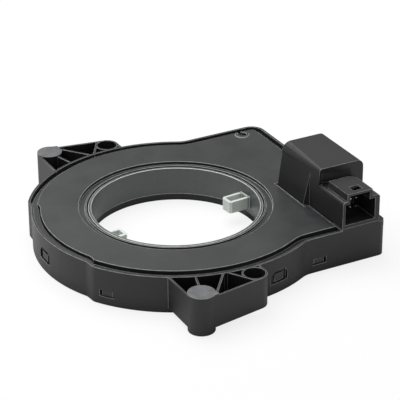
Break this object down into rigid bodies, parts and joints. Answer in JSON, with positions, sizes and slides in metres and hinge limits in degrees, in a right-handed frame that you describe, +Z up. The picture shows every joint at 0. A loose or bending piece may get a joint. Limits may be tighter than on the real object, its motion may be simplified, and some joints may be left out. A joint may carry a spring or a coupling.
{
  "type": "steering angle sensor",
  "caption": "Flat black ring-shaped steering angle sensor with a pale toothed drive ring round the shaft opening, two fixing ears and a hooded plug connector at the side",
  "frame": {"origin": "on the axis of the shaft opening, at the level of the housing's flat underside", "axes": "+Z runs up along the shaft axis through the lid, +X points to the extension with the hood, and the connector's mouth faces -Y"},
  "size_m": [0.1044, 0.1232, 0.0287],
  "materials": {
    "housing_plastic": "black glass-filled nylon, finely spark-eroded mould surface",
    "lid_plastic": "black glass-filled nylon, finely spark-eroded mould surface",
    "ring_plastic": "natural acetal, pale and slightly translucent",
    "gear_plastic": "natural acetal, as moulded",
    "magnet": "sintered ferrite, ground flat",
    "board": "green solder mask on glass-fibre laminate",
    "chip": "black moulded package",
    "ferrite": "wound ferrite choke",
    "can": "ground metal can",
    "ceramic": "fired ceramic chip",
    "contact_metal": "tin-plated drawn wire"
  },
  "bodies": {
    "base": {"housing": "housing_plastic", "lid": "lid_plastic", "circuit_board": "board", "angle_sensor_a": "chip", "angle_sensor_b": "chip", "microcontroller": "chip", "transceiver": "chip", "voltage_regulator": "chip", "common_mode_choke": "ferrite", "suppressor_diode": "chip", "resonator": "can", "capacitors": "ceramic", "resistors": "chip", "contact_upper_1": "contact_metal", "contact_upper_2": "contact_metal", "contact_upper_3": "contact_metal", "contact_lower_1": "contact_metal", "contact_lower_2": "contact_metal", "contact_lower_3": "contact_metal"},
    "drive": {"drive_ring": "ring_plastic"},
    "gear_a": {"measuring_gear_a": "gear_plastic", "magnet_a": "magnet"},
    "gear_b": {"measuring_gear_b": "gear_plastic", "magnet_b": "magnet"}
  },
  "joints": [
    {"name": "drive_turn", "type": "hinge", "parent": "base", "child": "drive", "pos_m": [0, 0, 0], "axis": [0, 0, 1], "continuous": true},
    {"name": "gear_a_turn", "type": "hinge", "parent": "base", "child": "gear_a", "pos_m": [0.03897, 0.01817, 0], "axis": [0, 0, 1], "continuous": true},
    {"name": "gear_b_turn", "type": "hinge", "parent": "base", "child": "gear_b", "pos_m": [0.03852, -0.01796, 0], "axis": [0, 0, 1], "continuous": true}
  ],
  "couplings": [
    {"joint": "gear_a_turn", "follows": "drive_turn", "ratio": -3.7778},
    {"joint": "gear_b_turn", "follows": "drive_turn", "ratio": -4}
  ]
}
